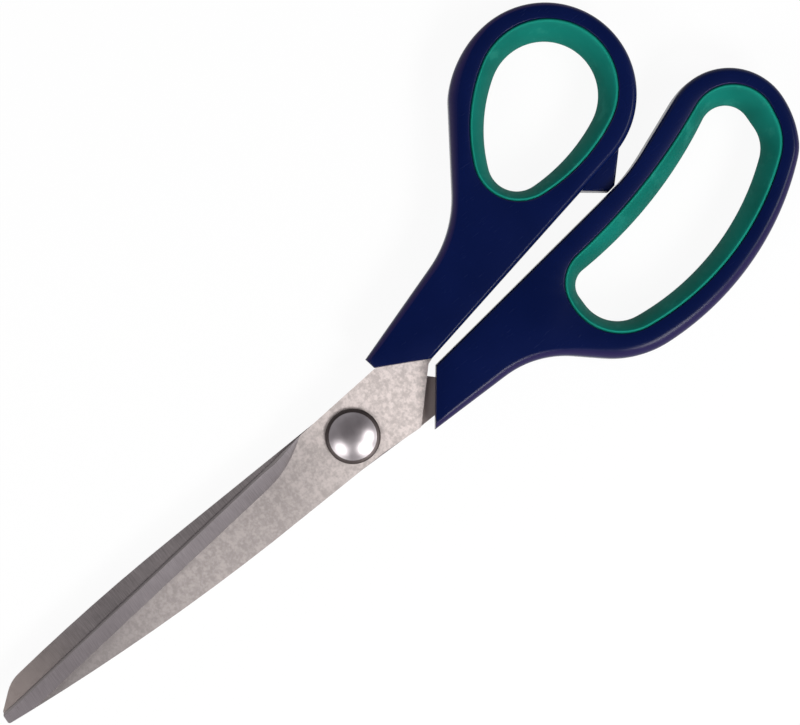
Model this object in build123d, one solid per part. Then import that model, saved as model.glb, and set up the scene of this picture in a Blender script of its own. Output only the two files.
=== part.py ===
from build123d import *

import os
from cmath import exp, phase
from math import asin, copysign, cos, pi, sin, sqrt

# Office scissors, closed and lying flat. They are drawn about the pivot, with the blades
# along +Y, the thumb bow at +X and the underside of the handles at Z = 0. At the end they
# are moved so that the origin is the bottom centre of the whole object. All sizes are mm.

# Heights
handle_height = 12.0          # handles, underside to top
blade_thickness = 1.8
blade_gap = 0.05              # between the two inner faces of the blades
parting = handle_height / 2   # height of the plane between the blades

# Blades, as seen from above with the cutting edge at +X
blade_reach = 96.8            # pivot to tips
front_back = 6.9              # centre line to the straight back of the blade
rear_back = 7.5
front_curve_from = 20.0       # where the back starts to curve in, ahead of the pivot
rear_curve_from = 45.0
front_edge_heel = 7.3         # centre line to the heel of the cutting edge
rear_edge_heel = 6.7
edge_heel_ahead = 8.5         # pivot to the heel of the cutting edge
tip_corner = 0.6              # radius of the small corners at the tips
rear_tip_round = 8.0          # radius that rounds the back of the rear blade's tip
bevel_width = 3.7
bevel_land = 0.5              # thickness left at the edge by the bevel
hone_width = 0.55             # small second bevel that makes the cutting edge
hone_land = 0.12
grinding_wheel = 65.0         # radius of the run-out at the heel of the bevels

# Heel of the blades, behind the pivot
heel_flare = 0.8              # how far the heel stands out from the back
heel_back = 13.2              # pivot to the back of the heel
front_shoulder = 8.4          # centre line to the shoulder, where a blade enters its handle
rear_shoulder = 7.6
shoulder_behind = 12.5
tang_inner_root = (1.9, -22.5)
tang_outer_root = (7.6, -19.0)
tang_end_radius = 3.2
anchor_radius = 1.7           # holes in the tang that the handle's plastic fills
anchor_shares = (0.45, 0.85)  # places of the holes along the tang

# Pivot
shank_radius = 2.6
shank_clearance = 0.05        # running clearance in the front blade's hole
head_radius = 6.0
head_rim = 0.4
head_rise = 2.5
head_gap = 0.03               # between the rivet's head and the front blade
washer_radius = 5.0
washer_thickness = 0.6
tail_radius = 4.0
tail_rise = 1.2

# Finger handle, with the long bow
finger_reach = 117.75         # pivot to the far end of the bow
finger_bow_x = 0.1
finger_bow_radius = 13.85
finger_palm_x = -4.9          # wide part of the bow, nearer to the pivot
finger_palm_y = -67.9
finger_palm_radius = 22.2
finger_waist_radius = 21.7    # hollow between the arm and the palm's side
finger_waist_gap = 0.5        # straight part between that hollow and the palm's side
finger_waist_turn = 2.236     # direction from the palm's middle to the hollow's, radians
finger_blade_corners = [(0.8, -23.5, 0), (-10.0, -14.6, 0)]
finger_side = 63.9            # curve of the bow's side away from the thumb
finger_end = 22.0             # flatter curve round the far end of the bow
finger_tang_x = 5.5
finger_tang_above_palm = 20.9

# That handle's far corner, bend, opening and liner's seat, as (across, along, smaller by) from the
# bow's or palm's own curve; the other corners are on the thumb's side
finger_far_corner = (-5.2, -1.5, 3.1)   # of the bow, on the side away from the thumb
finger_bend = (50.85, 32.4, 58.85)  # slight bend in the side towards the thumb
finger_hole_palm = (-5.0, 2.4, 13.6)
finger_hole_bow = (-2.2, 2.3, 6.05)
finger_hole_bow_corner = (0.6, -0.2, 8.35)
finger_hole_palm_corner = (-2.6, 6.7, 18.0)
finger_hole_sides = (56.0, -97.0)
finger_seat_palm = (-4.4, 1.4, 9.7)
finger_seat_bow = (-1.3, 2.1, 1.65)
finger_seat_bow_corner = (0.2, -1.1, 4.45)
finger_seat_palm_corner = (-3.1, 5.5, 14.0)
finger_seat_sides = (59.3, -129.0)

# Thumb handle, with the small bow
bow_stagger = 19.7            # how much further the finger bow reaches than the thumb bow
thumb_bow_x = 31.2
thumb_bow_radius = 19.75
thumb_side = 3.3              # how much larger the curve of the bow's outer side is
thumb_top = (4.2, 7.2, 7.1)   # outer top of the bow, placed as the finger handle's curves are
thumb_waist_radius = 26.4     # hollow between the arm and the bow
thumb_waist_gap = 4.4
thumb_waist_turn = 1.389
thumb_blade_corners = [(11.2, -12.4, 0), (8.5, -12.8, 0), (2.3, -23.7, 0)]
thumb_hole_bow = (0.1, -0.1, 8.05)
thumb_hole_top = (-7.4, 13.5)     # end of the opening that is nearer to the pivot
thumb_hole_top_radius = 6.3
thumb_hole_sides = (40.4, 33.7)
thumb_seat_bow = (0.4, -1.0, 4.55)
thumb_seat_top = (-6.7, 12.7)
thumb_liner_top = 3.6             # liner there
thumb_seat_sides = (39.8, 36.7)
thumb_tang_x = 13.0           # end of the tang
thumb_tang_above_bow = 32.4

edge_round = 1.5              # rounding along the handles' long edges
grip_recess = 0.3             # liner below the handle's faces
grip_key = 0.9                # depth of the key that holds the liner in its seat
grip_key_height = 3.0
grip_turn = 1.4               # quarter round of the liner's section, cut short to leave a rim
grip_steps = 4                # steps of that round, from mid height to face

# Closing stop on the thumb handle, which meets the side of the finger handle
stop_above_bow = 2.2          # ahead of the thumb bow's middle
stop_width = 4.6              # along the handle, where it meets
stop_root_width = 18.0
stop_length = 8.8
stop_height = 7.0
stop_corner = 1.2
stop_root = 2.5               # how deep the stop runs into the bow
stop_gap = 0.15               # left between the stop and the finger handle


def xy(point):
    return point.real, point.imag


def link_normals(first, second, link):
    """Unit inward normals where a link leaves one roller and where it meets the next."""
    (first_centre, first_radius), (second_centre, second_radius) = first, second
    apart = second_centre - first_centre
    length = abs(apart)
    along = apart / length
    if link is None:
        lean = (second_radius - first_radius) / length
        normal = along * complex(lean, sqrt(1 - lean**2))
        return normal, normal
    to_first, to_second = link - first_radius, link - second_radius
    forward = (to_first**2 - to_second**2 + length**2) / (2 * length)
    aside = copysign(sqrt(to_first**2 - forward**2), link)
    middle = along * complex(forward, aside)
    return middle / to_first, (middle - apart) / to_second


def outline(rollers, links):
    """Face inside a closed line drawn counter-clockwise round rollers.

    A roller is (x, y, radius). The line turns outwards round a positive radius, inwards round a
    negative one, and has a sharp corner at zero. links[i] joins roller i to the next one: None is
    a straight line and a number is an arc of that radius, hollow if negative.
    """
    count = len(rollers)
    discs = [(complex(x, y), radius) for x, y, radius in rollers]
    normals = [link_normals(discs[i], discs[(i + 1) % count], links[i]) for i in range(count)]
    edges = []
    for i, (centre, radius) in enumerate(discs):
        arriving = normals[i - 1][1]
        leaving, landing = normals[i]
        start = centre - radius * leaving
        if radius:
            turn = phase(leaving / arriving) % copysign(2 * pi, radius)
            middle = centre - radius * arriving * exp(0.5j * turn)
            edges.append(ThreePointArc(xy(centre - radius * arriving), xy(middle), xy(start)))
        next_centre, next_radius = discs[(i + 1) % count]
        end = next_centre - next_radius * landing
        if links[i] is None:
            edges.append(Line(xy(start), xy(end)))
        else:
            halfway = (leaving + landing) / abs(leaving + landing)
            middle = start + links[i] * (leaving - halfway)
            edges.append(ThreePointArc(xy(start), xy(middle), xy(end)))
    return make_face(edges)


def grown(rollers, links, by):
    """The same outline, moved outwards all round."""
    return ([(x, y, radius + by) for x, y, radius in rollers],
            [None if link is None else link + by for link in links])


def between(inner, outer, share):
    """Outline part of the way from an inner one to an outer one with the same rollers."""
    def mix(a, b):
        return None if a is None else a + (b - a) * share
    rollers = [tuple(mix(a, b) for a, b in zip(*pair)) for pair in zip(inner[0], outer[0])]
    return rollers, [mix(a, b) for a, b in zip(inner[1], outer[1])]


def beside(roller, across, along, smaller):
    """Roller placed and sized from another one."""
    x, y, radius = roller
    return x + across, y + along, radius - smaller


def slab(shape, low, high):
    """Straight-sided solid on an outline, from one height to another."""
    return Pos(0, 0, low) * extrude(outline(*shape), high - low)


def ground_edge(heel, along, inward, width, land, face):
    """What a wheel grinds off an edge: a sloping cut that runs out in an arc at the heel."""
    rise = face - land
    upslope = Vector(inward.real * width, inward.imag * width, rise)
    run_out = sqrt(2 * grinding_wheel * rise)
    start = heel + along * run_out
    direction = Vector(*xy(along))
    slope = Plane((start.real, start.imag, land), x_dir=direction, z_dir=direction.cross(upslope))
    span = 4 * width
    straight = Box(2 * blade_reach, span, span, align=(Align.MIN, Align.CENTER, Align.MIN))
    wheel = Pos(0, 0, grinding_wheel) * Rot(90, 0, 0) * Cylinder(grinding_wheel, span)
    return slope * (straight + wheel)


def blade(back, curve_from, edge_heel, tip, shoulder, tang_end, hole_radius):
    """One blade with its tang, cutting edge at +X, inner face at Z = 0 and outer face above.

    tip lists the rollers of the tip from the cutting edge round to the back, each as
    (x, distance below the blade's reach, radius).
    """
    tip_rollers = [(x, blade_reach - below, radius) for x, below, radius in tip]
    last_x, last_y, last_radius = tip_rollers[-1]
    inset, run = last_x + back, last_y - curve_from
    back_arc = (inset**2 + run**2 - last_radius**2) / (2 * (inset - last_radius))
    rollers = [
        (shoulder, -shoulder_behind, 0),
        (edge_heel, edge_heel_ahead, 0),
        *tip_rollers,
        (-back, curve_from, 0),
        (-back, -shank_radius, 0),
        (-back, -heel_back + heel_flare, heel_flare),
        (*tang_inner_root, 0),
        (*tang_end, tang_end_radius),
        (*tang_outer_root, 0),
    ]
    links = [None] * len(rollers)
    links[1 + len(tip)] = back_arc
    plate = slab((rollers, links), 0, blade_thickness)

    heel = complex(edge_heel, edge_heel_ahead)
    first_tip = (complex(*tip_rollers[0][:2]), tip_rollers[0][2])
    inward = link_normals((heel, 0), first_tip, None)[0]
    along = inward / 1j
    hone_face = bevel_land + (blade_thickness - bevel_land) * hone_width / bevel_width
    plate -= ground_edge(heel, along, inward, bevel_width, bevel_land, blade_thickness)
    plate -= ground_edge(heel, along, inward, hone_width, hone_land, hone_face)

    root, end = complex(*tang_inner_root) / 2 + complex(*tang_outer_root) / 2, complex(*tang_end)
    for share in anchor_shares:
        place = root + (end - root) * share
        plate -= Pos(*xy(place), 0) * Cylinder(anchor_radius, 4 * blade_thickness)
    return plate - Cylinder(hole_radius, 4 * blade_thickness)


def bow_handle(shape, seat, blade_inside, stop_block=None):
    """Handle moulded round a tang, with rounded long edges and a keyed seat for its liner."""
    solid = slab(shape, 0, handle_height)
    corners = [Vector(x, y) for x, y, radius in shape[0] if radius == 0]

    def at_corner(point):
        return any((Vector(point.X, point.Y) - corner).length < 0.01 for corner in corners)

    rims = solid.edges().filter_by(lambda edge: abs(edge.tangent_at(0.5).Z) < 0.5)
    long_edges = rims.filter_by(lambda edge: not (at_corner(edge @ 0) and at_corner(edge @ 1)))
    solid = fillet(long_edges, edge_round)
    if stop_block:
        solid += stop_block
    key = grip_key_height / 2
    solid -= slab(seat, 0, handle_height)
    solid -= slab(grown(*seat, grip_key), parting - key, parting + key)
    return solid - blade_inside


def grip(seat, hole):
    """Soft liner: fills the seat, and swells to its narrowest opening at mid height."""
    key = grip_key_height / 2
    low, high = grip_recess, handle_height - grip_recess
    solid = slab(seat, low, high) + slab(grown(*seat, grip_key), parting - key, parting + key)
    half = (high - low) / 2
    opening = []
    for step in range(-grip_steps, grip_steps + 1):
        angle = grip_turn * step / grip_steps
        level = parting + half * sin(angle) / sin(grip_turn)
        section = outline(*between(hole, seat, 1 - cos(angle)))
        opening.append(Pos(0, 0, level) * section)
    return solid - loft(opening, ruled=True)


def round_cap(radius, level, rise):
    """Half the profile of a round cap, from its rim to its middle; rise may be negative."""
    ball = (radius**2 + rise**2) / (2 * rise)
    half = asin(radius / ball) / 2
    middle = (ball * sin(half), level + rise - ball * (1 - cos(half)))
    return ThreePointArc((radius, level), middle, (0, level + rise))


# Outlines of the thumb handle, its opening and the seat of its liner
thumb_bow_y = thumb_bow_radius - finger_reach + bow_stagger
thumb_bow = (thumb_bow_x, thumb_bow_y, thumb_bow_radius)
top_x, top_y, top_radius = beside(thumb_bow, *thumb_top)
waist_away = (top_radius + thumb_waist_radius + thumb_waist_gap) * exp(1j * thumb_waist_turn)
thumb_waist = (top_x + waist_away.real, top_y + waist_away.imag, -thumb_waist_radius)
thumb_shape = (
    [*thumb_blade_corners, thumb_bow, (top_x, top_y, top_radius), thumb_waist],
    [None, None, None, thumb_bow_radius + thumb_side, None, None])
thumb_hole = (
    [(thumb_bow_x + thumb_hole_top[0], thumb_bow_y + thumb_hole_top[1], thumb_hole_top_radius),
     beside(thumb_bow, *thumb_hole_bow)],
    list(thumb_hole_sides))
thumb_seat = (
    [(thumb_bow_x + thumb_seat_top[0], thumb_bow_y + thumb_seat_top[1],
      thumb_hole_top_radius + thumb_liner_top),
     beside(thumb_bow, *thumb_seat_bow)],
    list(thumb_seat_sides))

# The same for the finger handle
finger_bow = (finger_bow_x, finger_bow_radius - finger_reach, finger_bow_radius)
finger_palm = (finger_palm_x, finger_palm_y, finger_palm_radius)
waist_away = ((finger_palm_radius + finger_waist_radius + finger_waist_gap)
              * exp(1j * finger_waist_turn))
finger_waist = (finger_palm_x + waist_away.real, finger_palm_y + waist_away.imag,
                -finger_waist_radius)
finger_shape = (
    [*finger_blade_corners, finger_waist, finger_palm,
     beside(finger_bow, *finger_far_corner), finger_bow, beside(finger_bow, *finger_bend)],
    [None, None, None, finger_side, finger_end, None, None])
finger_hole = (
    [beside(finger_palm, *finger_hole_palm), beside(finger_bow, *finger_hole_bow),
     beside(finger_bow, *finger_hole_bow_corner), beside(finger_palm, *finger_hole_palm_corner)],
    [finger_hole_sides[0], None, finger_hole_sides[1], None])
finger_seat = (
    [beside(finger_palm, *finger_seat_palm), beside(finger_bow, *finger_seat_bow),
     beside(finger_bow, *finger_seat_bow_corner), beside(finger_palm, *finger_seat_palm_corner)],
    [finger_seat_sides[0], None, finger_seat_sides[1], None])

# Blades; the rear one is turned over, so its tang is placed at the other side too
front_tip = [(0.3, tip_corner, tip_corner), (-1.1, tip_corner, tip_corner)]
rear_tip = [(0.0, tip_corner, tip_corner), (-0.9, 0.9, tip_corner), (2.4, 8.8, rear_tip_round)]
thumb_tang_end = (thumb_tang_x, thumb_bow_y + thumb_tang_above_bow)
finger_tang_end = (finger_tang_x, finger_palm_y + finger_tang_above_palm)
front_height = parting + blade_gap / 2
rear_height = parting - blade_gap / 2
front_blade = Pos(0, 0, front_height) * blade(
    front_back, front_curve_from, front_edge_heel, front_tip, front_shoulder, thumb_tang_end,
    shank_radius + shank_clearance)
rear_blade = Pos(0, 0, rear_height) * Rot(0, 180, 0) * blade(
    rear_back, rear_curve_from, rear_edge_heel, rear_tip, rear_shoulder, finger_tang_end,
    shank_radius)

# Pivot rivet, turned about its axis, and the washer under its peened tail
head_level = front_height + blade_thickness + head_gap
rear_level = rear_height - blade_thickness
tail_level = rear_level - washer_thickness
rivet_profile = make_face([
    Line((0, tail_level - tail_rise), (0, head_level + head_rise)),
    round_cap(head_radius, head_level + head_rim, head_rise - head_rim),
    Polyline((head_radius, head_level + head_rim), (head_radius, head_level),
             (shank_radius, head_level), (shank_radius, tail_level), (tail_radius, tail_level)),
    round_cap(tail_radius, tail_level, -tail_rise),
])
pivot_rivet = revolve(Plane.XZ * rivet_profile, Axis.Z)
washer_face = Circle(washer_radius) - Circle(shank_radius)
tail_washer = Pos(0, 0, tail_level) * extrude(washer_face, washer_thickness)

# Handles and liners
stop_x = thumb_bow_x - thumb_bow_radius + stop_root
stop_y = thumb_bow_y + stop_above_bow
stop_tip = stop_x - stop_length + stop_corner
tip_half = stop_width / 2 - stop_corner
root_half = stop_root_width / 2
stop_shape = (
    [(stop_x, stop_y - root_half, 0), (stop_x, stop_y + root_half, 0),
     (stop_tip, stop_y + tip_half, stop_corner), (stop_tip, stop_y - tip_half, stop_corner)],
    [None] * 4)
stop = slab(stop_shape, parting - stop_height / 2, parting + stop_height / 2)
stop -= slab(grown(*finger_shape, stop_gap), 0, handle_height)
thumb_handle = bow_handle(thumb_shape, thumb_seat, front_blade, stop)
finger_handle = bow_handle(finger_shape, finger_seat, rear_blade)
thumb_grip = grip(thumb_seat, thumb_hole)
finger_grip = grip(finger_seat, finger_hole)

pieces = {
    "front_blade": front_blade,
    "rear_blade": rear_blade,
    "pivot_rivet": pivot_rivet,
    "tail_washer": tail_washer,
    "thumb_handle": thumb_handle,
    "finger_handle": finger_handle,
    "thumb_grip": thumb_grip,
    "finger_grip": finger_grip,
}
box = Compound([solid for piece in pieces.values() for solid in piece.solids()]).bounding_box()
middle = box.center()
to_base = Pos(-middle.X, -middle.Y, -box.min.Z)
os.makedirs("parts", exist_ok=True)
for name, piece in pieces.items():
    export_step(to_base * piece, f"parts/{name}.step")
print(f"pivot at {-middle.X:.4f}, {-middle.Y:.4f}")
print(f"size {box.size.X:.2f} x {box.size.Y:.2f} x {box.size.Z:.2f}")
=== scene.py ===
import bmesh
import bpy
from cmath import exp, phase
from math import ceil, copysign, cos, pi, radians, sin, sqrt
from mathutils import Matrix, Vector


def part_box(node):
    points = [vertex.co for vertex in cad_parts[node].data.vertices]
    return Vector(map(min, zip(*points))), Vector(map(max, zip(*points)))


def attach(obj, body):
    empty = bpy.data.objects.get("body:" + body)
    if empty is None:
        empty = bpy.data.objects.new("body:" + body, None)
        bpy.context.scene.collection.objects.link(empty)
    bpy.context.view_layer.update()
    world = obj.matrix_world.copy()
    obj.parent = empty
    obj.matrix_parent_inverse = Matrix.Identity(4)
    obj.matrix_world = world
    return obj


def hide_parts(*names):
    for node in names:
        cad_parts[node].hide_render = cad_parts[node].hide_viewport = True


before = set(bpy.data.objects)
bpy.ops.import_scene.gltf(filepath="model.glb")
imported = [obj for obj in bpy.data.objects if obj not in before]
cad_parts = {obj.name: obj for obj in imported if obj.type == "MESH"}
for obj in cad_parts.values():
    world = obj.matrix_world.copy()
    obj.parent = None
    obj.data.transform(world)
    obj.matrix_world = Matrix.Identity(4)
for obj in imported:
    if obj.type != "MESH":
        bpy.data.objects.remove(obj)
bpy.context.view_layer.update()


# Blades: two flat steel blanks, stamped, bead blasted on the outside and ground on the inside,
# with a bevel ground along the cutting edge. Each is eased along its arrises by the tumbling
# that follows, and its tang is moulded into a handle.
mm = 0.001
arris = 0.05 * mm
arris_angle = radians(12)
flat_angle = radians(0.5)
same_point = 0.001 * mm


class Wire:
    """A socket of a material. Signs between wires add Math nodes; node() adds any other."""

    def __init__(self, tree, socket=None):
        self.tree = tree
        self.socket = socket

    def node(self, kind, settings=None, inputs=None, output=0):
        """Any other node: its settings first, then the value or link of each socket."""
        made = self.tree.nodes.new(kind)
        for name, value in (settings or {}).items():
            if name == "stops":
                ramp = made.color_ramp.elements
                while len(ramp) < len(value):
                    ramp.new(0.5)
                for stop, (place, colour) in zip(ramp, value):
                    stop.position = place
                    stop.color = colour
            else:
                setattr(made, name, value)
        for name, value in (inputs or {}).items():
            if isinstance(value, Wire):
                self.tree.links.new(value.socket, made.inputs[name])
            else:
                made.inputs[name].default_value = value
        return Wire(self.tree, made.outputs[output]) if made.outputs else None

    def maths(self, operation, first, second):
        return self.node("ShaderNodeMath", {"operation": operation}, {0: first, 1: second})

    def __add__(self, other):
        return self.maths("ADD", self, other)

    def __sub__(self, other):
        return self.maths("SUBTRACT", self, other)

    def __rsub__(self, other):
        return self.maths("SUBTRACT", other, self)

    def __mul__(self, other):
        return self.maths("MULTIPLY", self, other)

    __radd__ = __add__
    __rmul__ = __mul__

    def band(self, low, high):
        """0 up to low, 1 from high on, and smooth between them."""
        return self.node("ShaderNodeMapRange", {"interpolation_type": "SMOOTHSTEP"},
                         {"Value": self, "From Min": low, "From Max": high})

    def blend(self, first, second):
        """The first colour where this wire is 0 and the second where it is 1."""
        return self.node("ShaderNodeMix", {"data_type": "RGBA"}, {0: self, 6: first, 7: second},
                         output=2)


def finish_of(name):
    """A new material with no nodes yet, and a wire to start from."""
    material = bpy.data.materials.new(name)
    material.use_nodes = True
    material.node_tree.nodes.clear()
    return material, Wire(material.node_tree)


def surface(start, colour, roughness, normal, constants):
    """Closes a material: one Principled shader, with what varies and what is the same all over."""
    shader = start.node("ShaderNodeBsdfPrincipled", None, {
        "Base Color": colour, "Roughness": roughness, "Normal": normal, **constants})
    start.node("ShaderNodeOutputMaterial", None, {"Surface": shader})


def grain(start, place, scale, detail=2.0, roughness=0.5):
    """Soft cloudy pattern, 0 to 1; scale is in patches for each metre."""
    return start.node("ShaderNodeTexNoise", None, {
        "Vector": place, "Scale": scale, "Detail": detail, "Roughness": roughness})


def stretched(start, place, size):
    """The place in the object, squeezed along its axes so that a pattern comes out as streaks."""
    return start.node("ShaderNodeVectorMath", {"operation": "MULTIPLY"}, {0: place, 1: size})


def placed(name, mesh, crease=radians(35)):
    """Puts a mesh in the scene, smooth except where it turns by more than the crease angle."""
    mesh.shade_smooth()
    mesh.set_sharp_from_angle(angle=crease)
    piece = bpy.data.objects.new(name, mesh)
    bpy.context.scene.collection.objects.link(piece)
    return piece


def eased(node, name):
    """A copy of a CAD blade whose sharp arrises are broken by a small round."""
    shape = bmesh.new()
    shape.from_mesh(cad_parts[node].data)
    bmesh.ops.remove_doubles(shape, verts=shape.verts, dist=same_point)
    bmesh.ops.dissolve_limit(shape, angle_limit=flat_angle, verts=shape.verts, edges=shape.edges)
    sharp = [edge for edge in shape.edges
             if len(edge.link_faces) == 2 and edge.calc_face_angle() > arris_angle]
    bmesh.ops.bevel(shape, geom=sharp, offset=arris, segments=2, profile=0.5, affect="EDGES",
                    clamp_overlap=True)
    bmesh.ops.triangulate(shape, faces=[face for face in shape.faces if len(face.verts) > 4])
    mesh = bpy.data.meshes.new(name)
    shape.to_mesh(mesh)
    shape.free()
    return placed(name, mesh, arris_angle)


tip_shade_and_polish = 60 * mm
heel_shade_ramp = 45 * mm
tip_rub = 28 * mm
heel_rub_from = 4 * mm
heel_rub_to = 10 * mm


def steel_finish(name, outer_sign, tip_y, heel_y, edge_side):
    """Blasted outer face, ground inner face and a bevel with the wheel's lines, with painted shade
    on the inner face, the sides, the honed edge and towards the tip.
    """
    material, start = finish_of(name)
    place = start.node("ShaderNodeTexCoord", None, None, "Object")
    normal = start.node("ShaderNodeNewGeometry", None, None, "Normal")
    across = start.node("ShaderNodeSeparateXYZ", None, {"Vector": normal}, "X")
    up = start.node("ShaderNodeSeparateXYZ", None, {"Vector": normal}, "Z")
    along = start.node("ShaderNodeSeparateXYZ", None, {"Vector": place}, "Y")

    outer = (up * outer_sign).band(0.97, 0.995)
    inner = (up * -outer_sign).band(0.9, 0.99)
    ground = (across * edge_side).band(0.15, 0.3) * (up * outer_sign).band(0.3, 0.6)
    honed = (across * edge_side).band(0.45, 0.55)

    blotch = grain(start, place, 680.0, 3.0, 0.55)
    fleck = grain(start, place, 1700.0, 2.0, 0.6)
    cloud = grain(start, place, 60.0, 2.0)
    wheel_lines = grain(start, stretched(start, place, (300.0, 9000.0, 300.0)), 1.0, 3.0, 0.6)
    scuffs = grain(start, stretched(start, place, (2600.0, 120.0, 1.0)), 1.0, 4.0, 0.7)

    towards_tip = along.band(tip_y - tip_shade_and_polish, tip_y)
    # Painted shade: the blasted face fades darker from the heel to the tip.
    painted_shade_along = along.band(heel_y, heel_y + heel_shade_ramp) * 0.42 + towards_tip * (0.34 + cloud * 0.22)
    blasted_light = (0.87, 0.80, 0.77, 1)
    blasted_dark = (0.64, 0.585, 0.56, 1)
    # Painted shade: the dark colour that stands for the tip in shade.
    painted_tip_shade = (0.175, 0.158, 0.158, 1)
    ground_light = (0.90, 0.83, 0.84, 1)
    ground_dark = (0.62, 0.565, 0.57, 1)
    # Painted shade: the inner face is given much darker steel than the outer one, varied by the
    # wheel's lines.
    inner_shade_pale = (0.35, 0.315, 0.315, 1)
    inner_shade_dark = (0.19, 0.172, 0.172, 1)
    inner_ends = (0.50, 0.43, 0.40, 1)
    # Painted shade: the honed edge and the side walls are darker copies of the steel.
    honed_shade_colour = (0.22, 0.20, 0.20, 1)
    side_shade_colour = (0.42, 0.37, 0.36, 1)
    face = (blotch * 0.6 + fleck * 0.4).band(0.36, 0.64).blend(blasted_dark, blasted_light)
    face = painted_shade_along.blend(face, painted_tip_shade)
    lines = (wheel_lines * 0.6 + cloud * 0.4).band(0.3, 0.7)
    bevel = honed.blend(lines.blend(ground_dark, ground_light), honed_shade_colour)
    colour = outer.blend(side_shade_colour, face)
    colour = ground.blend(colour, bevel)
    rubbed_ends = (along.band(heel_y + heel_rub_to, heel_y + heel_rub_from)
                   + along.band(tip_y - tip_rub, tip_y))
    inside = rubbed_ends.blend(lines.blend(inner_shade_dark, inner_shade_pale), inner_ends)
    colour = inner.blend(colour, inside)

    rough = (0.40 + outer * 0.30 + blotch * 0.10 - towards_tip * 0.10
             - ground * 0.06 + scuffs.band(0.62, 0.8) * -0.08)
    relief = (outer * (blotch * 0.5 + fleck * 0.5) + (ground + inner) * wheel_lines
              - scuffs.band(0.68, 0.8) * 0.3)
    bump = start.node("ShaderNodeBump", None, {
        "Strength": 0.35, "Distance": 0.02 * mm, "Height": relief})
    surface(start, colour, rough, bump, {"Metallic": 1.0})
    return material


def fit_out(piece, node, body, material):
    """Hands a finished piece its material and its body, and hides the CAD node that it stands for.
    """
    piece.data.materials.clear()
    piece.data.materials.append(material)
    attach(piece, body)
    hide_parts(node)


tip_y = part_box("front_blade")[1].y
pivot = (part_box("pivot_rivet")[0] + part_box("pivot_rivet")[1]) / 2
heel_y = pivot.y - 20 * mm
for blade, body, outer_sign, edge_side in (("rear_blade", "finger_half", -1, -1),
                                           ("front_blade", "thumb_half", 1, 1)):
    steel = steel_finish(blade + "_steel", outer_sign, tip_y, heel_y, edge_side)
    fit_out(eased(blade, blade + "_eased"), blade, body, steel)


# Pivot rivet and tail washer: a chromed steel rivet with a domed head, turned and polished, put
# through both blades from the front and peened over a washer at the back.
head_low, head_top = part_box("pivot_rivet")[0].z / mm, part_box("pivot_rivet")[1].z / mm
washer_low, washer_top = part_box("tail_washer")[0].z / mm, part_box("tail_washer")[1].z / mm
head_radius = (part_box("pivot_rivet")[1].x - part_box("pivot_rivet")[0].x) / 2 / mm
head_room = 0.03
head_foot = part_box("front_blade")[1].z / mm + head_room
washer_radius = (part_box("tail_washer")[1].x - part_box("tail_washer")[0].x) / 2 / mm
shank_radius = 2.6
tail_radius = 4.0
turned_steps = 96


def turned(name, profile):
    """Solid of revolution about the pivot; the profile is (radius, height) in mm."""
    shape = bmesh.new()
    rings = []
    for radius, height in profile:
        count = turned_steps if radius else 1
        rings.append([shape.verts.new((pivot.x + radius * mm * cos(2 * pi * step / count),
                                       pivot.y + radius * mm * sin(2 * pi * step / count),
                                       height * mm)) for step in range(count)])
    for low, high in zip(rings, rings[1:]):
        for step in range(turned_steps):
            after = (step + 1) % turned_steps
            corners = [low[step % len(low)], low[after % len(low)],
                       high[after % len(high)], high[step % len(high)]]
            shape.faces.new(list(dict.fromkeys(corners)))
    bmesh.ops.recalc_face_normals(shape, faces=shape.faces)
    mesh = bpy.data.meshes.new(name)
    shape.to_mesh(mesh)
    shape.free()
    return placed(name, mesh)


def dome(radius, level, rise, steps):
    """Points of a round cap from its rim to its middle; rise may be negative."""
    ball = (radius**2 + rise**2) / (2 * rise)
    centre = level + rise - ball
    reach = [radius * (1 - step / steps) for step in range(steps + 1)]
    return [(r, centre + copysign(sqrt(ball**2 - r**2), rise)) for r in reach]


def chrome_finish(name, rim_from, rim_to):
    """Polished plate with fine handling scratches, and painted shade and dark reflection round the
    rim.
    """
    material, start = finish_of(name)
    place = start.node("ShaderNodeTexCoord", None, None, "Object")
    from_pivot = start.node("ShaderNodeVectorMath", {"operation": "SUBTRACT"},
                            {0: place, 1: (pivot.x, pivot.y, 0)})
    flat = stretched(start, from_pivot, (1, 1, 0))
    radius = start.node("ShaderNodeVectorMath", {"operation": "LENGTH"}, {0: flat}, "Value")
    rim = radius.band(rim_from * mm, rim_to * mm)
    haze = grain(start, place, 240.0, 3.0)
    specks = grain(start, place, 1800.0, 2.0)
    hairlines = grain(start, stretched(start, place, (500.0, 5200.0, 500.0)), 1.0, 4.0, 0.7)
    plate = haze.band(0.3, 0.7).blend((0.41, 0.375, 0.385, 1), (0.54, 0.50, 0.51, 1))
    # Painted shade and dark reflection: the rim is blended to near black.
    colour = (rim * (0.8 + specks * 0.4)).band(0.0, 1.0).blend(plate, (0.075, 0.062, 0.060, 1))
    rough = 0.28 + haze * 0.10 + rim * 0.16 + hairlines.band(0.6, 0.75) * 0.12
    bump = start.node("ShaderNodeBump", None, {
        "Strength": 0.15, "Distance": 0.01 * mm, "Height": haze + hairlines * 0.2})
    surface(start, colour, rough, bump, {"Metallic": 1.0})
    return material


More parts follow.
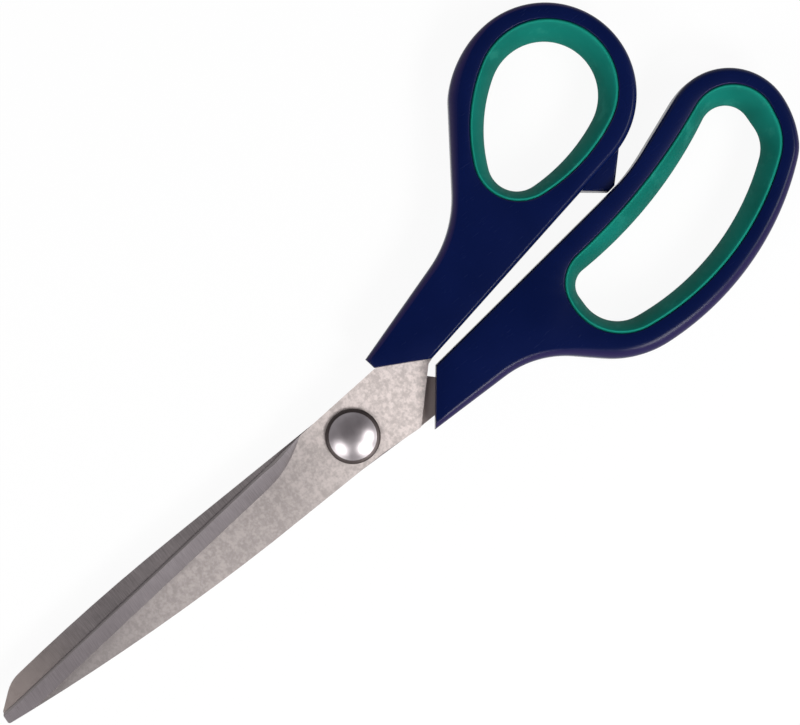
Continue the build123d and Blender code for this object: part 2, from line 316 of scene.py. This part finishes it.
rim_height = 0.45
cap_inset, cap_step, cap_rings = 0.62, 0.42, 14
tail_inset, tail_wall, tail_rings = 0.15, 0.3, 8
cap = dome(head_radius - cap_inset, head_foot + rim_height + cap_step,
           head_top - head_foot - rim_height - cap_step, cap_rings)
tail = dome(tail_radius - tail_inset, washer_low - tail_wall,
            head_low - washer_low + tail_wall, tail_rings)
rivet_profile = [
    (0, head_low), *reversed(tail[:-1]),
    (tail_radius, washer_low - 0.12), (tail_radius - 0.05, washer_low),
    (shank_radius, washer_low), (shank_radius, head_foot), (head_radius - 0.1, head_foot),
    (head_radius, head_foot + 0.1), (head_radius, head_foot + rim_height),
    (head_radius - 0.12, head_foot + rim_height + 0.2),
    (head_radius - 0.34, head_foot + rim_height + 0.36), *cap]
rivet = turned("rivet", rivet_profile)
fit_out(rivet, "pivot_rivet", "finger_half",
        chrome_finish("rivet_chrome", head_radius - 0.95, head_radius - 0.7))

washer_edge = 0.08
washer = turned("washer", [
    (shank_radius, washer_low), (washer_radius - washer_edge, washer_low),
    (washer_radius, washer_low + washer_edge), (washer_radius, washer_top - washer_edge),
    (washer_radius - washer_edge, washer_top), (shank_radius, washer_top),
    (shank_radius, washer_low)])
fit_out(washer, "tail_washer", "finger_half",
        chrome_finish("washer_chrome", washer_radius - 0.3, washer_radius))


# Handles: two injection-moulded halves of dark blue plastic round the tangs, with a polished
# surface, broad easing on the outer sides, a fine parting line round the middle of the wall,
# and a stop on the thumb handle that meets the side of the finger handle.
handle_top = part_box("finger_handle")[1].z / mm
parting = handle_top / 2
outline_step = 0.9
straight_step = 4.0
end_easing = 0.35
easing_profile = [(0.0, 1.0), (0.05, 0.76), (0.16, 0.52), (0.33, 0.31), (0.55, 0.14),
                  (0.79, 0.035), (1.0, 0.0)]
least_drop = 0.35
greatest_drop = 2.2
drop_share = 0.8
sharp_turn = 0.15


def link_normals(first, second, link):
    """Unit inward normals where a link leaves one roller and where it meets the next."""
    (first_centre, first_radius), (second_centre, second_radius) = first, second
    apart = second_centre - first_centre
    length = abs(apart)
    along = apart / length
    if link is None:
        lean = (second_radius - first_radius) / length
        normal = along * complex(lean, sqrt(1 - lean**2))
        return normal, normal
    to_first, to_second = link - first_radius, link - second_radius
    forward = (to_first**2 - to_second**2 + length**2) / (2 * length)
    aside = copysign(sqrt(to_first**2 - forward**2), link)
    middle = along * complex(forward, aside)
    return middle / to_first, (middle - apart) / to_second


def stretches(rollers, links):
    """The arcs and lines of a closed line drawn round rollers, each as (start, turn, place).

    A roller is (x, y, radius), hollow if negative and a sharp corner at zero. links[i] joins
    roller i to the next: None is a straight line, and a number is an arc of that radius.
    """
    discs = [(complex(x, y), radius) for x, y, radius in rollers]
    count = len(discs)
    normals = [link_normals(discs[i], discs[(i + 1) % count], links[i]) for i in range(count)]
    found = []
    for i, (centre, radius) in enumerate(discs):
        arriving, (leaving, landing) = normals[i - 1][1], normals[i]
        turn = phase(leaving / arriving) % copysign(2 * pi, radius) if radius else 0.0
        found.append(("roller", centre, radius, arriving, turn))
        next_centre, next_radius = discs[(i + 1) % count]
        start, end = centre - radius * leaving, next_centre - next_radius * landing
        if links[i] is None:
            found.append(("line", start, end, None, None))
        else:
            hub = start + links[i] * leaving
            found.append(("link", hub, links[i], leaving, phase(landing / leaving)))
    return found


def steps_of(rollers, links):
    """How many steps each stretch of a line takes; a sharp corner takes none."""
    counts = []
    for kind, first, second, _, turn in stretches(rollers, links):
        if kind == "line":
            counts.append(max(1, int(abs(second - first) / straight_step)))
        else:
            counts.append(ceil(abs(second * turn) / outline_step))
    return counts


def walked(rollers, links, counts):
    """Points round a closed line, with the number of the stretch that leaves each point."""
    points = []
    for number, (kind, first, second, normal, turn) in enumerate(stretches(rollers, links)):
        for step in range(counts[number]):
            share = step / counts[number]
            if kind == "line":
                points.append((first + (second - first) * share, number))
            else:
                points.append((first - second * normal * exp(1j * turn * share), number))
    return points


def grown(rollers, links, by):
    """The same line, moved outwards all round."""
    return ([(x, y, radius + by) for x, y, radius in rollers],
            [None if link is None else link + by for link in links])


def easings(rollers, links, counts, widths):
    """Width of the easing along each edge of a walked line, from one width for each roller."""
    found = []
    for number, count in enumerate(counts):
        here, after = widths[number // 2], widths[(number // 2 + 1) % len(widths)]
        is_end = (number % 2 and rollers[number // 2][2] == 0
                  and rollers[(number // 2 + 1) % len(rollers)][2] == 0)
        for step in range(count):
            share = (step + 0.5) / count if number % 2 else 0.0
            found.append(end_easing if is_end else here + (after - here) * share)
    return found


def inset(points, depths):
    """A closed line moved inwards, each edge by its own depth."""
    moved = []
    for i, point in enumerate(points):
        before, after = points[i - 1], points[(i + 1) % len(points)]
        first = 1j * (point - before) / abs(point - before)
        second = 1j * (after - point) / abs(after - point)
        one, two = depths[i - 1], depths[i]
        turn = (first.conjugate() * second).imag
        if abs(turn) < sharp_turn:
            middle = (first + second) / abs(first + second)
            moved.append(point + middle * (one + two) / 2)
        else:
            moved.append(point + (second * one - first * two) * 1j / -turn)
    return moved


def lay_ring(shape, points, heights):
    """New points in a mesh, from places in the plan beside the pivot and heights, all in mm."""
    return [shape.verts.new(((pivot.x / mm + point.real) * mm, (pivot.y / mm + point.imag) * mm,
                             height * mm)) for point, height in zip(points, heights)]


def skin(shape, rings, closed=False):
    """Quads between each ring and the next."""
    pairs = list(zip(rings, rings[1:])) + ([(rings[-1], rings[0])] if closed else [])
    for low, high in pairs:
        for i in range(len(low)):
            after = (i + 1) % len(low)
            shape.faces.new((low[i], low[after], high[after], high[i]))


def cap_over(shape, loops):
    """Flat face with openings, between one outer loop and those inside it."""
    edges = []
    for loop in loops:
        for i, vert in enumerate(loop):
            after = loop[(i + 1) % len(loop)]
            edges.append(shape.edges.get((vert, after)) or shape.edges.new((vert, after)))
    bmesh.ops.triangle_fill(shape, use_beauty=True, edges=edges)


parting_groove = 0.06
parting_half = 0.25
wall_inset = 0.005


def moulding(shape, points, depths, low, high, draft):
    """Side wall of a moulding from one flat face to the other; returns its two end rings."""
    count = len(points)
    middle = (low + high) / 2
    drops = [min(greatest_drop, least_drop + drop_share * (depths[i - 1] + depths[i]) / 2)
             for i in range(count)]
    upper = [(inset(points, [parting_groove] * count), [middle] * count),
             (inset(points, [wall_inset] * count), [middle + parting_half] * count)]
    for share, down in easing_profile:
        line = inset(points, [draft + (depth - draft) * share for depth in depths])
        upper.append((line, [high - down * drop for drop in drops]))
    below = [(line, [2 * middle - height for height in heights])
             for line, heights in reversed(upper[1:])]
    rings = [lay_ring(shape, line, heights) for line, heights in below + upper]
    skin(shape, rings)
    return rings[0], rings[-1]


def plastic_finish(name, outer_side):
    """Deep blue polished plastic, with a painted violet sheen on the rounded rim of the outer
    side.
    """
    material, start = finish_of(name)
    place = start.node("ShaderNodeTexCoord", None, None, "Object")
    normal = start.node("ShaderNodeNewGeometry", None, None, "Normal")
    across = start.node("ShaderNodeSeparateXYZ", None, {"Vector": normal}, "X")
    up = start.node("ShaderNodeSeparateXYZ", None, {"Vector": normal}, "Z")
    level = start.node("ShaderNodeMath", {"operation": "ABSOLUTE"}, {0: up})
    cloud = grain(start, place, 45.0, 3.0)
    peel = grain(start, place, 700.0, 2.0)
    scuffs = grain(start, stretched(start, place, (2400.0, 260.0, 500.0)), 1.0, 4.0, 0.65)
    # Painted sheen: the outer flank's rounded rim is tinted violet like a reflection.
    painted_sheen = (across * outer_side).band(0.15, 0.5) * level.band(0.2, 0.55)
    deep = cloud.band(0.25, 0.75).blend((0.0004, 0.0040, 0.037, 1), (0.0013, 0.0058, 0.049, 1))
    colour = (painted_sheen * (0.6 + cloud * 0.5)).blend(deep, (0.019, 0.013, 0.062, 1))
    colour = (scuffs.band(0.66, 0.8) * 0.35).blend(colour, (0.020, 0.024, 0.085, 1))
    rough = 0.22 + cloud * 0.08 + painted_sheen * 0.06 + scuffs.band(0.6, 0.8) * 0.14
    relief = peel + cloud * 0.6 - scuffs.band(0.66, 0.8) * 0.4
    bump = start.node("ShaderNodeBump", None, {
        "Strength": 0.1, "Distance": 0.015 * mm, "Height": relief})
    surface(start, colour, rough, bump, {"Specular IOR Level": 0.13})
    return material


wall_draft, stop_draft = 0.1, 0.05
seat_lip = [(0.25, 0.0), (0.1, 0.06), (0.0, 0.3)]


def handle(name, outer, widths, seat, lugs=()):
    """A handle with the round-edged opening that takes its liner."""
    counts = steps_of(*outer)
    walk = walked(*outer, counts)
    points = [point for point, _ in walk]
    depths = easings(*outer, counts, widths)
    shape = bmesh.new()
    bottom, top = moulding(shape, points, depths, 0.0, handle_top, wall_draft)

    seat_counts = steps_of(*seat)
    levels = [(by, handle_top - down) for by, down in seat_lip]
    levels += [(by, down) for by, down in reversed(seat_lip)]
    rings = []
    for by, height in levels:
        line = [point for point, _ in walked(*grown(*seat, by), seat_counts)]
        rings.append(lay_ring(shape, line, [height] * len(line)))
    skin(shape, rings)
    cap_over(shape, [top, rings[0]])
    cap_over(shape, [bottom, rings[-1]])

    for line, widths_of, low, high in lugs:
        foot, crown = moulding(shape, line, widths_of, low, high, stop_draft)
        cap_over(shape, [foot])
        cap_over(shape, [crown])
    bmesh.ops.recalc_face_normals(shape, faces=shape.faces)
    mesh = bpy.data.meshes.new(name)
    shape.to_mesh(mesh)
    shape.free()
    return placed(name, mesh, radians(50))


finger_bow = (0.1, -103.9, 13.85)
finger_palm = (-4.9, -67.9, 22.2)
finger_outer = (
    [(0.8, -23.5, 0), (-10.0, -14.6, 0), (-32.31, -32.97, -21.7), finger_palm,
     (-5.1, -105.4, 10.75), finger_bow, (50.95, -71.5, -45.0)],
    [None, None, None, 63.9, 22.0, None, None])
finger_widths = [0.8, 1.5, 1.9, 2.6, 1.6, 1.3, 0.8]
finger_seat = (
    [(-9.3, -66.5, 12.5), (-1.2, -101.8, 12.2), (0.3, -105.0, 9.4), (-8.0, -62.4, 8.2)],
    [59.3, None, -129.0, None])
finger_handle = handle("finger_handle_moulded", finger_outer, finger_widths, finger_seat)
fit_out(finger_handle, "finger_handle", "finger_half",
        plastic_finish("finger_plastic_blue", -1))

thumb_bow = (31.2, -78.3, 19.75)
thumb_outer = (
    [(11.2, -12.4, 0), (8.5, -12.8, 0), (2.3, -23.7, 0), thumb_bow, (35.4, -71.1, 12.65),
     (43.26, -28.36, -26.4)],
    [None, None, None, 23.05, None, None])
thumb_widths = [1.4, 0.5, 0.8, 1.2, 3.2, 1.8]
thumb_seat = ([(24.5, -65.6, 9.9), (31.6, -79.3, 15.2)], [39.8, 36.7])

stop_middle = -76.1
stop_half = 2.3
stop_root_half = 9.0
stop_root_x = 13.7
stop_gap = 0.15
stop_half_height = 3.5
stop_easing = 0.5
beside = grown(*finger_outer, stop_gap)
side_line = [point for point, _ in walked(*beside, steps_of(*beside))
             if point.real > 0 and abs(point.imag - stop_middle) < stop_half]
stop_line = [complex(stop_root_x, stop_middle - stop_root_half),
             complex(stop_root_x, stop_middle + stop_root_half)]
stop_line += sorted(side_line, key=lambda point: -point.imag)
stop = (stop_line, [stop_easing] * len(stop_line),
        parting - stop_half_height, parting + stop_half_height)
thumb_handle = handle("thumb_handle_moulded", thumb_outer, thumb_widths, thumb_seat, [stop])
fit_out(thumb_handle, "thumb_handle", "thumb_half",
        plastic_finish("thumb_plastic_blue", 1))


# Liners: soft green rubber rings moulded into the bows. Each has a round shoulder beside the
# hard rim, a crest, and a long rounded slope down to the narrowest opening at mid height.
liner_crest = handle_top - 0.06
liner_key = 0.35
shoulder_section = [(liner_key, 1.1), (0.0, 0.55), (-0.12, 0.28), (-0.30, 0.08), (-0.50, 0.0)]
slope_steps = 14
slope_fullness = 1.35


def between(inner, outer, share):
    """Line part of the way from an inner one to an outer one with the same rollers."""
    def mix(first, second):
        return None if first is None else first + (second - first) * share
    rollers = [tuple(mix(a, b) for a, b in zip(*pair)) for pair in zip(inner[0], outer[0])]
    return rollers, [mix(a, b) for a, b in zip(inner[1], outer[1])]


def liner(name, hole, seat):
    """A closed ring between its seat in the handle and the opening for the fingers."""
    counts = steps_of(*seat)
    crest = grown(*seat, shoulder_section[-1][0])
    section = [(grown(*seat, by), liner_crest - down) for by, down in shoulder_section]
    for step in range(1, slope_steps + 1):
        angle = pi / 2 * (1 - step / slope_steps)
        share = 1 - cos(angle) ** (2 / slope_fullness)
        rise = sin(angle) ** (2 / slope_fullness)
        section.append((between(hole, crest, share), parting + (liner_crest - parting) * rise))
    below = [(line, handle_top - height) for line, height in reversed(section[:-1])]
    shape = bmesh.new()
    rings = []
    for line, height in section + below:
        points = [point for point, _ in walked(*line, counts)]
        rings.append(lay_ring(shape, points, [height] * len(points)))
    skin(shape, rings, closed=True)
    bmesh.ops.recalc_face_normals(shape, faces=shape.faces)
    mesh = bpy.data.meshes.new(name)
    shape.to_mesh(mesh)
    shape.free()
    return placed(name, mesh, radians(60))


def rubber_finish(name):
    """Matt green rubber with the mould's fine texture and paler smears, and painted light on the
    faces that lie flat.
    """
    material, start = finish_of(name)
    place = start.node("ShaderNodeTexCoord", None, None, "Object")
    normal = start.node("ShaderNodeNewGeometry", None, None, "Normal")
    up = start.node("ShaderNodeSeparateXYZ", None, {"Vector": normal}, "Z")
    level = start.node("ShaderNodeMath", {"operation": "ABSOLUTE"}, {0: up})
    cloud = grain(start, place, 70.0, 3.0)
    stipple = grain(start, place, 2600.0, 2.0, 0.6)
    smears = grain(start, place, 260.0, 3.0, 0.6)
    deep = cloud.band(0.3, 0.7).blend((0.0006, 0.118, 0.090, 1), (0.0016, 0.158, 0.122, 1))
    # Painted light: faces that lie flat, top and bottom, are paler.
    colour = (level.band(0.75, 0.98) * 0.6).blend(deep, (0.006, 0.270, 0.195, 1))
    colour = (smears.band(0.55, 0.75) * 0.25).blend(colour, (0.035, 0.300, 0.230, 1))
    rough = 0.58 + stipple * 0.12 + cloud * 0.08
    bump = start.node("ShaderNodeBump", None, {
        "Strength": 0.4, "Distance": 0.02 * mm, "Height": stipple + smears * 0.5})
    surface(start, colour, rough, bump, {"Specular IOR Level": 0.1})
    return material


rubber = rubber_finish("liner_rubber_green")
finger_hole = (
    [(-9.9, -65.5, 8.6), (-2.1, -101.6, 7.8), (0.7, -104.1, 5.5), (-7.5, -61.2, 4.2)],
    [56.0, None, -97.0, None])
thumb_hole = ([(23.8, -64.8, 6.3), (31.3, -78.4, 11.7)], [40.4, 33.7])
fit_out(liner("finger_liner", finger_hole, finger_seat), "finger_grip", "finger_half",
        rubber)
fit_out(liner("thumb_liner", thumb_hole, thumb_seat), "thumb_grip", "thumb_half",
        rubber)


# Table: a plain pale sheet of board that the scissors lie on, large enough to fill the view
# from any side. It shows its own white to the eye and in reflections, and keeps a soft shadow.
floor_half = 3.0
floor_drop = 0.02 * mm
shadow_share = 0.07

board = bmesh.new()
bmesh.ops.create_grid(board, x_segments=8, y_segments=8, size=floor_half)
board_mesh = bpy.data.meshes.new("floor")
board.to_mesh(board_mesh)
board.free()
floor = bpy.data.objects.new("floor", board_mesh)
floor.location.z = -floor_drop
bpy.context.scene.collection.objects.link(floor)

board_finish, start = finish_of("floor_board")
place = start.node("ShaderNodeTexCoord", None, None, "Object")
fibres = grain(start, place, 900.0, 3.0, 0.6)
tone = fibres.blend((0.86, 0.86, 0.86, 1), (0.90, 0.90, 0.90, 1))
card = start.node("ShaderNodeBsdfDiffuse", None, {"Color": tone})
white = start.node("ShaderNodeEmission", None, {"Color": (1, 1, 1, 1), "Strength": 1.0})
seen = [start.node("ShaderNodeLightPath", None, None, ray)
        for ray in ("Is Camera Ray", "Is Glossy Ray", "Is Transmission Ray")]
shown_white = (seen[0] + seen[1] + seen[2]) * (1 - shadow_share)
mixed = start.node("ShaderNodeMixShader", None, {0: shown_white, 1: card, 2: white})
start.node("ShaderNodeOutputMaterial", None, {"Surface": mixed})
board_mesh.materials.append(board_finish)


# Studio: a dim ceiling over a pale horizon, and three oval softboxes halfway up: the strongest
# beyond the view's lower right, weaker ones at its lower left and its right. The camera looks
# straight down between the pivot and the bows.
camera_turn = radians(231.05)
view_aside, view_back, view_level = 5.9964 * mm, 17.9 * mm, 8.0 * mm
middle = Vector((pivot.x + view_aside, pivot.y - view_back, view_level))
right = Vector((cos(camera_turn), sin(camera_turn), 0))
ahead = Vector((-sin(camera_turn), cos(camera_turn), 0))
camera_height = 0.5
seen_width = 0.17246

world = bpy.data.worlds.new("studio")
world.use_nodes = True
world.node_tree.nodes.clear()
bpy.context.scene.world = world
start = Wire(world.node_tree)
direction = start.node("ShaderNodeTexCoord", None, None, "Generated")
height = start.node("ShaderNodeSeparateXYZ", None, {"Vector": direction}, "Z")
sky = start.node("ShaderNodeValToRGB", {"stops": [
    (0.0, (1.0, 1.0, 1.0, 1)), (0.16, (0.85, 0.85, 0.86, 1)), (0.42, (0.38, 0.37, 0.39, 1)),
    (0.75, (0.21, 0.20, 0.21, 1)), (1.0, (0.17, 0.16, 0.17, 1))]}, {"Fac": height})
light = start.node("ShaderNodeBackground", None, {"Color": sky, "Strength": 1.0})
start.node("ShaderNodeOutputWorld", None, {"Surface": light})


def softbox(name, bearing, elevation, distance, size, power):
    """Area lamp aimed at the middle of the view; bearing 0 is the top of the view."""
    outwards = ahead * cos(radians(bearing)) + right * sin(radians(bearing))
    away = outwards * cos(radians(elevation)) + Vector((0, 0, sin(radians(elevation))))
    lamp = bpy.data.lights.new(name, "AREA")
    lamp.shape = "ELLIPSE"
    lamp.size, lamp.size_y = size
    lamp.energy = power
    holder = bpy.data.objects.new(name, lamp)
    holder.location = middle + away * distance
    holder.rotation_mode = "QUATERNION"
    holder.rotation_quaternion = away.to_track_quat("Z", "Y")
    bpy.context.scene.collection.objects.link(holder)


softbox("key_softbox", 138, 45, 0.9, (0.36, 0.30), 5.0)
softbox("fill_softbox", 222, 42, 0.9, (0.50, 0.34), 2.6)
softbox("high_softbox", 92, 48, 0.9, (0.34, 0.30), 2.4)

camera_data = bpy.data.cameras.new("camera")
camera_data.sensor_width = 36.0
camera_data.lens = camera_data.sensor_width * camera_height / seen_width
camera = bpy.data.objects.new("camera", camera_data)
camera.location = middle + Vector((0, 0, camera_height))
camera.rotation_euler = (0, 0, camera_turn)
bpy.context.scene.collection.objects.link(camera)
bpy.context.scene.camera = camera
bpy.context.scene.view_settings.view_transform = "Standard"
